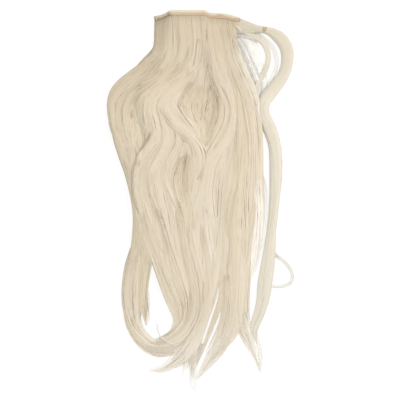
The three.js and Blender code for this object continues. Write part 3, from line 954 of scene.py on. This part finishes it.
def make_hair_material(name, stops):
    """Hair whose colour follows each strand's tint, with painted shadow under the band and a little darker
    towards the roots.
    """
    material, tree, shader = new_material(name, roughness=0.4, specular=0.35)
    strand = ramp(tree, attribute(tree, "tint"), stops)
    # The first stop paints the shadow under the band's lower edge; the roots are a little darker besides
    length = ramp(tree, attribute(tree, "along"), [
        (0.0, (212, 205, 197)), (0.03, (235, 232, 227)), (0.3, (248, 246, 244)), (1.0, WHITE),
    ])
    tree.links.new(multiply(tree, strand, length), shader.inputs["Base Color"])
    return material


def make_tape_material():
    """Woven tape in three panels along the band, each darker below: painted shade and tan hair loops."""
    material, tree, shader = new_material("weft_tape", roughness=0.8, specular=0.2)
    across = attribute(tree, "tint")
    along = attribute(tree, "along")
    # The left panel slopes away from the key light: its darker, greyer colours are painted shade
    left = ramp(tree, across, [
        (0.0, (150, 132, 110)), (0.35, (172, 154, 134)), (0.65, (188, 174, 160)), (1.0, (194, 184, 174)),
    ])
    middle = ramp(tree, across, [
        (0.0, (191, 175, 151)), (0.45, (204, 189, 167)), (0.7, (210, 197, 175)), (1.0, (210, 201, 181)),
    ])
    right = ramp(tree, across, [
        (0.0, (184, 156, 128)), (0.4, (195, 169, 142)), (0.65, (200, 183, 161)), (1.0, (202, 193, 176)),
    ])
    to_middle = ramp(tree, along, [(0.19, BLACK), (0.21, WHITE)])
    to_right = ramp(tree, along, [(0.52, BLACK), (0.62, WHITE)])
    panels = fade(tree, to_right, fade(tree, to_middle, left, middle), right)
    # Painted shadow darkens the crease between the left and middle panels; the ends are darker too
    length = ramp(tree, along, [
        (0.0, (226, 218, 214)), (0.04, WHITE), (0.17, WHITE), (0.2, (222, 214, 206)),
        (0.23, WHITE), (0.93, WHITE), (0.97, (230, 212, 192)),
    ])
    warp = wave(tree, "X", scale=9.0, distortion=0.4)
    weft = wave(tree, "Y", scale=55.0, distortion=0.4)
    weave = multiply(tree, warp, weft)
    threads = ramp(tree, weave, [(0.0, (244, 240, 234)), (1.0, WHITE)])
    toned = multiply(tree, panels, length)
    tree.links.new(multiply(tree, toned, threads), shader.inputs["Base Color"])
    add_bump(tree, shader, weave, strength=0.5, distance=0.2)
    return material


def make_thread_material(name, dark, light):
    """Twisted thread, with darker lines where its plies meet."""
    material, tree, shader = new_material(name, roughness=0.55, specular=0.3)
    plies = wave(tree, "DIAGONAL", scale=40.0, distortion=0.0)
    colour = ramp(tree, plies, [(0.0, dark), (0.45, light), (1.0, light)])
    tree.links.new(colour, shader.inputs["Base Color"])
    add_bump(tree, shader, plies, strength=0.4, distance=0.15)
    return material


def make_main_fall(material, wisp_material, courses, pile):
    """The locks of the main fall, each a core under strands."""
    cores = []
    grouped = {}
    for (name, tier, *_), course in zip(LOCKS, courses):
        group = name.split()[0]
        if tier != "under":
            course.pile = pile
        cores.append(lock_core(course))
        count, tone, painted_root_shade = GROUPS[group]
        strands = lock_strands(course, count, CLUMPS, painted_root_shade=painted_root_shade, tone=tone)
        grouped.setdefault(group, []).append(strands)
    add_piece("hair_cores", cores, material, "hair_fall")
    for group, lofts in grouped.items():
        group_material = wisp_material if group == "wisp" else material
        add_piece(f"hair_{group}", lofts, group_material, "hair_fall")


def surface_lofts(pile, locks, rise=SURFACE_RISE, sink=SURFACE_SINK):
    lofts = []
    for _, width, tone, points in locks:
        course = SurfaceCourse(pile, width, rise, sink, points)
        clumps = math.ceil(width / SURFACE_CLUMP_WIDTH)
        lofts.append(lock_strands(
            course, STRANDS_PER_WIDTH * width, clumps,
            stations=SHORT_STATIONS, root_spread=SURFACE_ROOT_SPREAD, tone=tone,
        ))
    return lofts


def make_surface_locks(material, pile):
    half = len(SURFACE_LOCKS) // 2
    for part, locks in (("upper", SURFACE_LOCKS[:half]), ("lower", SURFACE_LOCKS[half:])):
        add_piece(f"hair_surface_{part}", surface_lofts(pile, locks), material, "hair_fall")
    # Thin locks of painted shade, and pale streaks
    shades = surface_lofts(pile, PAINTED_SHADE_LOCKS + PALE_LOCKS, SHADE_RISE, SHADE_SINK)
    add_piece("hair_painted_shade_and_pale", shades, material, "hair_fall")


def make_side_lock(material):
    course = side_course()
    add_piece("side_lock_core", [lock_core(course, SIDE_LOCK_CORE_TINT)], material, "side_lock")
    strands = lock_strands(
        course, SIDE_LOCK_STRANDS, CLUMPS, root_spread=SIDE_LOCK_ROOT_SPREAD, tone=SIDE_LOCK_TONE
    )
    add_piece("hair_side_lock", [strands], material, "side_lock")


def make_wisps(material):
    wisps = [
        lock_strands(
            wisp_course(width, height, points), count, WISP_CLUMPS, WISP_RADIUS, WISP_STATIONS, tone=tone
        )
        for _, count, tone, width, height, points in WISPS
    ]
    add_piece("hair_wisps", wisps, material)


def make_hair():
    material = make_hair_material("blonde_hair", [
        (0.0, (180, 169, 150)), (0.2, (198, 186, 164)), (0.4, (206, 194, 171)),
        (0.6, (212, 202, 185)), (1.0, (236, 232, 224)),
    ])
    ash_material = make_hair_material("ash_hair", [
        (0.0, (178, 169, 151)), (0.35, (202, 195, 179)), (0.6, (212, 206, 191)), (1.0, (230, 227, 219)),
    ])
    fine_material = make_hair_material("fine_hair", [(0.0, (204, 200, 187)), (1.0, (248, 248, 246))])
    courses = [fall_course(tier, width, fall, tail) for _, tier, width, fall, tail in LOCKS]
    pile = Pile(courses)
    make_main_fall(material, ash_material, courses, pile)
    make_surface_locks(material, pile)
    make_side_lock(ash_material)
    make_wisps(fine_material)


def make_band():
    course = Course(BAND_SECTIONS)
    add_piece("weft_tape", [band_tape(course)], make_tape_material(), "weft_band")
    thread = make_thread_material("sewing_thread", (190, 172, 146), (214, 199, 175))
    stitches = thread_lofts(stitch_paths(course), STITCH_RADIUS, STITCH_CORNERS)
    add_piece("weft_stitches", stitches, thread)


def make_tie():
    thread = make_thread_material("tie_thread", (158, 142, 113), (190, 176, 145))
    binding = thread_lofts(tie_paths(side_course()), TIE_THREAD_RADIUS, TIE_CORNERS)
    add_piece("tie_thread", binding, thread, "lock_tie")


def make_stage():
    reach = FLOOR_REACH * MM
    corners = [(-reach, -reach, 0), (reach, -reach, 0), (reach, reach, 0), (-reach, reach, 0)]
    floor_mesh = bpy.data.meshes.new("floor")
    floor_mesh.from_pydata(corners, [], [(0, 1, 2, 3)])
    floor = add_object("floor", floor_mesh)
    material, _, shader = new_material("pale_floor", roughness=0.9, specular=0.1)
    set_inputs(shader, {"Base Color": FLOOR_COLOUR, "Emission Color": linear_light(WHITE)})
    set_inputs(shader, {"Emission Strength": FLOOR_GLOW})
    floor_mesh.materials.append(material)


def make_sky():
    world = bpy.data.worlds.new("studio")
    world.use_nodes = True
    background = world.node_tree.nodes["Background"]
    set_inputs(background, {"Color": linear_light(WHITE), "Strength": SKY_STRENGTH})
    bpy.context.scene.world = world


def make_key_light():
    light = bpy.data.lights.new("key", "AREA")
    light.shape = "DISK"
    light.size = KEY_SIZE * MM
    light.energy = KEY_POWER
    lamp = add_object("key", light)
    place = Vector(KEY_PLACE) * MM
    lamp.location = place
    lamp.rotation_euler = (-place).to_track_quat("-Z", "Y").to_euler()


def make_camera():
    """A camera straight above the middle of the picture."""
    camera = bpy.data.cameras.new("camera")
    camera.sensor_width = SENSOR_WIDTH
    camera.lens = LENS
    distance = VIEW_SIDE * LENS / SENSOR_WIDTH
    eye = add_object("camera", camera)
    eye.location = (Vector(VIEW_CENTRE) + distance * Vector(UP)) * MM
    bpy.context.scene.camera = eye
    bpy.context.scene.view_settings.view_transform = "Standard"


make_hair()
make_band()
make_tie()
make_stage()
make_sky()
make_key_light()
make_camera()
